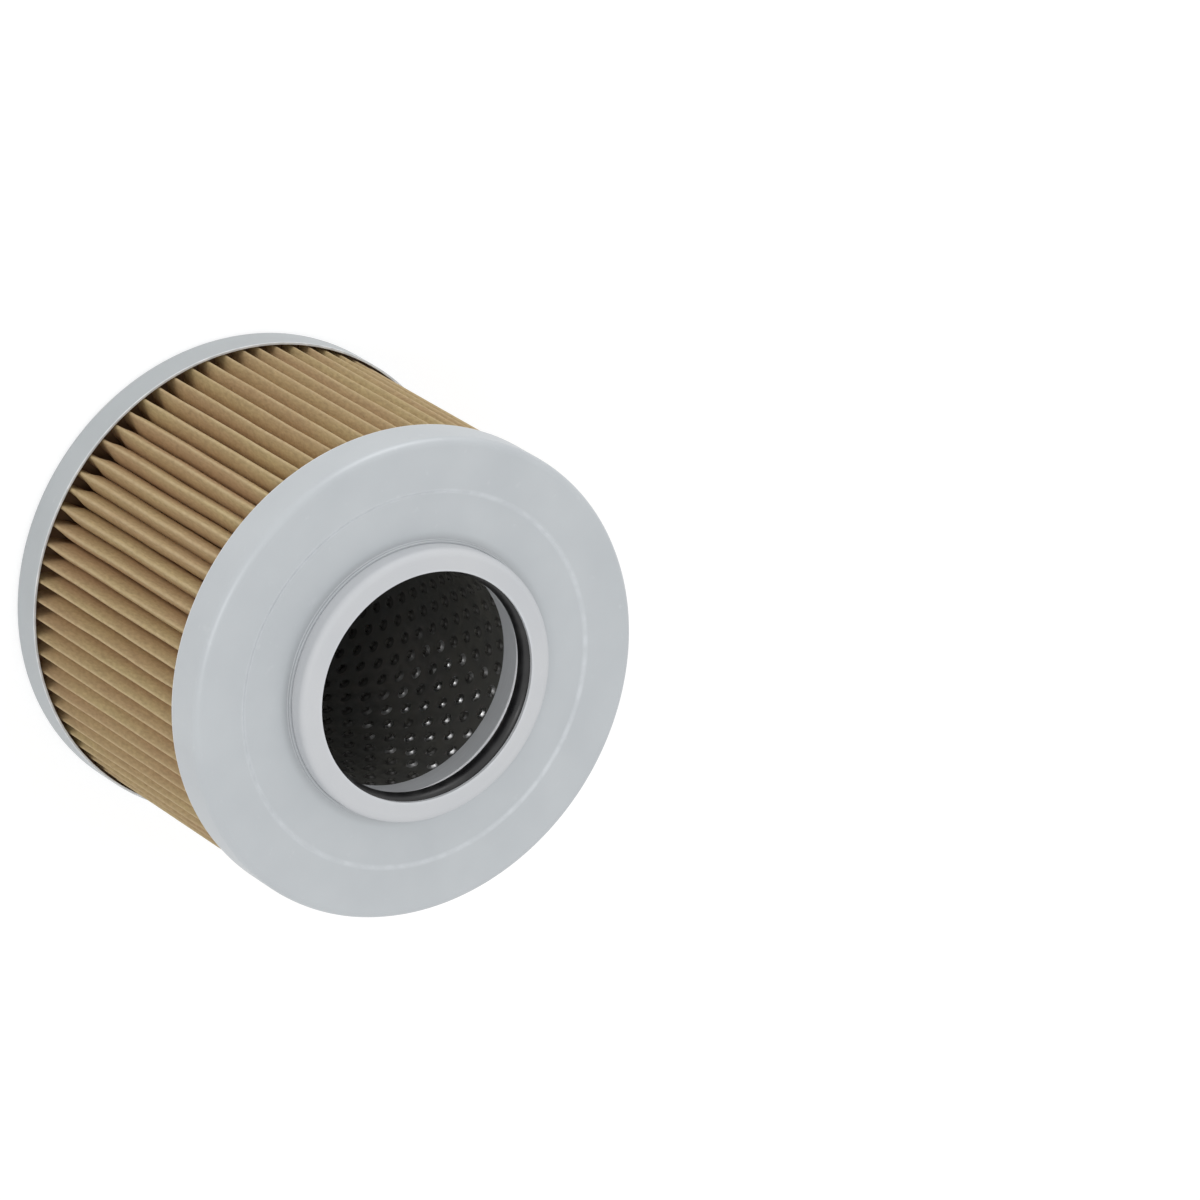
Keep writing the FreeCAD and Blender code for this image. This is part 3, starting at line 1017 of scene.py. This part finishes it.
stagger = times(tree, maths(tree, "MODULO", row, 2.0), 0.5)
laid = step(tree, "ShaderNodeCombineXYZ", {
    "X": times(tree, maths(tree, "ADD", column, stagger), given["Cell width"]),
    "Y": maths(tree, "MULTIPLY_ADD", row, given["Cell height"], given["First row"]),
}).outputs[0]
points = step(tree, "GeometryNodePoints", {"Count": count, "Position": laid}).outputs[0]
cell_shape = step(tree, "GeometryNodeObjectInfo", {"Object": given["Punched cell"]})
just_past = -1.01
below_sheet = times(tree, given["Sheet"], just_past)
marked = step(tree, "GeometryNodeStoreNamedAttribute", {
    "Geometry": cell_shape.outputs["Geometry"],
    "Name": "raised",
    "Value": maths(tree, "LESS_THAN", on_sheet["Z"], below_sheet),
}, {"data_type": "BOOLEAN", "domain": "FACE"}).outputs[0]
flat_sheet = tree.nodes.new("GeometryNodeJoinGeometry")
punched = step(tree, "GeometryNodeInstanceOnPoints", {"Points": points, "Instance": marked})
tree.links.new(punched.outputs[0], flat_sheet.inputs[0])

plain_shape = step(tree, "GeometryNodeObjectInfo", {"Object": given["Plain cell"]})
half_cell = times(tree, given["Cell height"], 0.5)
punched_low = maths(tree, "SUBTRACT", given["First row"], half_cell)
punched_high = maths(tree, "MULTIPLY_ADD", given["Rows"], given["Cell height"], punched_low)
for joint, end, half_turn in ((punched_low, given["Bottom"], math.pi),
                              (punched_high, given["Top"], 0.0)):
    along = step(tree, "ShaderNodeCombineXYZ", {
        "X": times(tree, index, given["Cell width"]),
        "Y": joint,
    }).outputs[0]
    points = step(tree, "GeometryNodePoints",
                  {"Count": given["Holes round"], "Position": along}).outputs[0]
    stretch = {"X": 1.0, "Y": apart(tree, end, joint), "Z": 1.0}
    plain = step(tree, "GeometryNodeInstanceOnPoints", {
        "Points": points,
        "Instance": plain_shape.outputs["Geometry"],
        "Rotation": (0.0, 0.0, half_turn),
        "Scale": step(tree, "ShaderNodeCombineXYZ", stretch).outputs[0],
    })
    tree.links.new(plain.outputs[0], flat_sheet.inputs[0])
real = step(tree, "GeometryNodeRealizeInstances",
            {"Geometry": flat_sheet.outputs[0]}).outputs[0]
angle = maths(tree, "DIVIDE", on_sheet["X"], given["Radius"])
angle = maths(tree, "ADD", angle, given["First angle"])
reach = maths(tree, "ADD", given["Radius"], on_sheet["Z"])
rolled = step(tree, "ShaderNodeCombineXYZ", {
    "X": times(tree, maths(tree, "COSINE", angle), reach),
    "Y": times(tree, maths(tree, "SINE", angle), reach),
    "Z": on_sheet["Y"],
}).outputs[0]
tube = step(tree, "GeometryNodeSetPosition",
            {"Geometry": real, "Position": rolled}).outputs[0]
closed = step(tree, "GeometryNodeMergeByDistance",
              {"Geometry": tube, "Distance": 0.02 * mm}).outputs[0]
soft = step(tree, "GeometryNodeSetShadeSmooth", {"Geometry": closed}).outputs[0]
raised = step(tree, "GeometryNodeInputNamedAttribute", {"Name": "raised"},
              {"data_type": "BOOLEAN"}).outputs["Attribute"]
end_geometry_tree(tree, soft, given["Coat"], raised, given["Edge finish"])

punched_tube = grown("punched_tube", tree, {
    "Punched cell": punched_cell,
    "Plain cell": plain_cell,
    "Holes round": holes_round,
    "Rows": hole_rows,
    "Cell width": cell_width,
    "Cell height": cell_height,
    "Sheet": cap_sheet,
    "First row": tube_low.z + plain_below + half_height,
    "Bottom": tube_low.z,
    "Top": tube_high.z,
    "Radius": tube_high.x,
    "First angle": first_angle,
    "Coat": coat,
    "Edge finish": raised_edge,
})
for shape in (punched_cell, plain_cell):
    bpy.data.objects.remove(shape)
stands_for(punched_tube, "centre_tube")

# %% [markdown]
# ## Stage and light
# The element stands on a pale floor in a bright, even room, as in a product photograph. The
# floor adds a little white of its own where the camera, a reflection or a see-through ray
# meets it, so that it runs into the white background and still keeps a soft shadow. The
# room's light on the object stays plain, so a colour renders about as it is written.

# %% Lay the floor
white = grey(1.0)


def seen_directly(tree):
    """1 for a ray from the camera, in a reflection or through something clear, or else 0."""
    path = tree.nodes.new("ShaderNodeLightPath").outputs
    seen = maths(tree, "MAXIMUM", path["Is Camera Ray"], path["Is Glossy Ray"])
    return maths(tree, "MAXIMUM", seen, path["Is Transmission Ray"])


floor_mesh = bmesh.new()
reach = 3.0
drop_below = 0.2 * mm
floor_corners = [(-reach, -reach), (reach, -reach), (reach, reach), (-reach, reach)]
floor_mesh.faces.new([floor_mesh.verts.new((x, y, -drop_below)) for x, y in floor_corners])
floor = finished("pale_floor", floor_mesh)
floor_finish = bpy.data.materials.new("pale_floor")
floor_finish.use_nodes = True
tree = floor_finish.node_tree
tree.nodes.remove(tree.nodes["Principled BSDF"])
place = tree.nodes.new("ShaderNodeTexCoord").outputs["Object"]
own_light = 0.68
matt_tone = blend(tree, spots(tree, place, 40 * mm), grey(0.84), grey(0.86))
seen = seen_directly(tree)
matt_seen = blend(tree, seen, matt_tone, grey(0.42))
matt = step(tree, "ShaderNodeBsdfDiffuse", {"Color": matt_seen}).outputs[0]
glow = step(tree, "ShaderNodeEmission",
            {"Color": white, "Strength": times(tree, seen, own_light)}).outputs[0]
both = tree.nodes.new("ShaderNodeAddShader")
tree.links.new(matt, both.inputs[0])
tree.links.new(glow, both.inputs[1])
tree.links.new(both.outputs[0], tree.nodes["Material Output"].inputs["Surface"])
floor.data.materials.append(floor_finish)

# %% Light the room
room_level = 0.90
world = bpy.data.worlds.new("bright_room")
bpy.context.scene.world = world
world.use_nodes = True
tree = world.node_tree
background = tree.nodes["Background"]
background.inputs["Color"].default_value = white
seen = seen_directly(tree)
level = maths(tree, "MULTIPLY_ADD", seen, 1 - room_level, room_level)
feed(tree, background.inputs["Strength"], level)


def softbox(name, place, aim, size, watts):
    """Square lamp at a place that shines at a point."""
    lamp = bpy.data.lights.new(name, "AREA")
    lamp.size = size
    lamp.energy = watts
    box = bpy.data.objects.new(name, lamp)
    box.location = place
    box.rotation_euler = (Vector(aim) - Vector(place)).to_track_quat("-Z", "Y").to_euler()
    bpy.context.scene.collection.objects.link(box)


middle_height = collar_high.z / 2
softbox("left_softbox", (-1.05, -0.45, 0.26), (0, 0, middle_height), 0.6, 2.2)
softbox("right_softbox", (0.95, -0.60, 0.32), (0, 0, middle_height), 1.0, 0.2)
softbox("small_lamp", (0.26, -0.76, 1.00), (0, 0, collar_high.z), 0.18, 1.2)

# %% [markdown]
# ## Camera
# The photograph was taken with a long lens, and the element lay on its side. Here it stands
# upright, so the camera is rolled instead: it looks down at the open face from 54 degrees
# and is turned by 122 degrees about its own line of sight. The aim is moved off the middle
# of the element until it stands at the left of the picture, as it does there.

# %% Set the camera
picture = 1200
focal_pixels = 8966.0
sensor = 36.0
radius_over_distance = 0.0278
distance = cap_radius / radius_over_distance
elevation = 0.9440
roll = 2.1244
element_pixel = Vector((322.58, 622.49))

centre = Vector((0, 0, open_face / 2))
back = Vector((0, -math.cos(elevation), math.sin(elevation)))
level_right = Vector((1, 0, 0))
level_up = Vector((0, math.sin(elevation), math.cos(elevation)))
right = math.cos(roll) * level_right + math.sin(roll) * level_up
up = -math.sin(roll) * level_right + math.cos(roll) * level_up
off_right = element_pixel.x - picture / 2
off_up = picture / 2 - element_pixel.y
to_centre = Vector((off_right, off_up, -focal_pixels)).normalized()
straight = Matrix((right, up, back)).transposed()
tilt = to_centre.rotation_difference(Vector((0, 0, -1))).to_matrix()
turned_camera = straight @ tilt
camera_data = bpy.data.cameras.new("long_lens")
camera_data.sensor_width = sensor
camera_data.lens = sensor * focal_pixels / picture
camera_data.clip_start = 0.1
camera = bpy.data.objects.new("long_lens", camera_data)
camera.matrix_world = Matrix.Translation(centre + back * distance) @ turned_camera.to_4x4()
bpy.context.scene.collection.objects.link(camera)
bpy.context.scene.camera = camera
bpy.context.scene.view_settings.view_transform = "Standard"
print("camera at", [round(value, 3) for value in camera.location], "lens", camera_data.lens)

# %% [markdown]
# ## Finish
# The visual model has to stay inside the CAD model's box.

# %% Finish
bpy.context.view_layer.update()
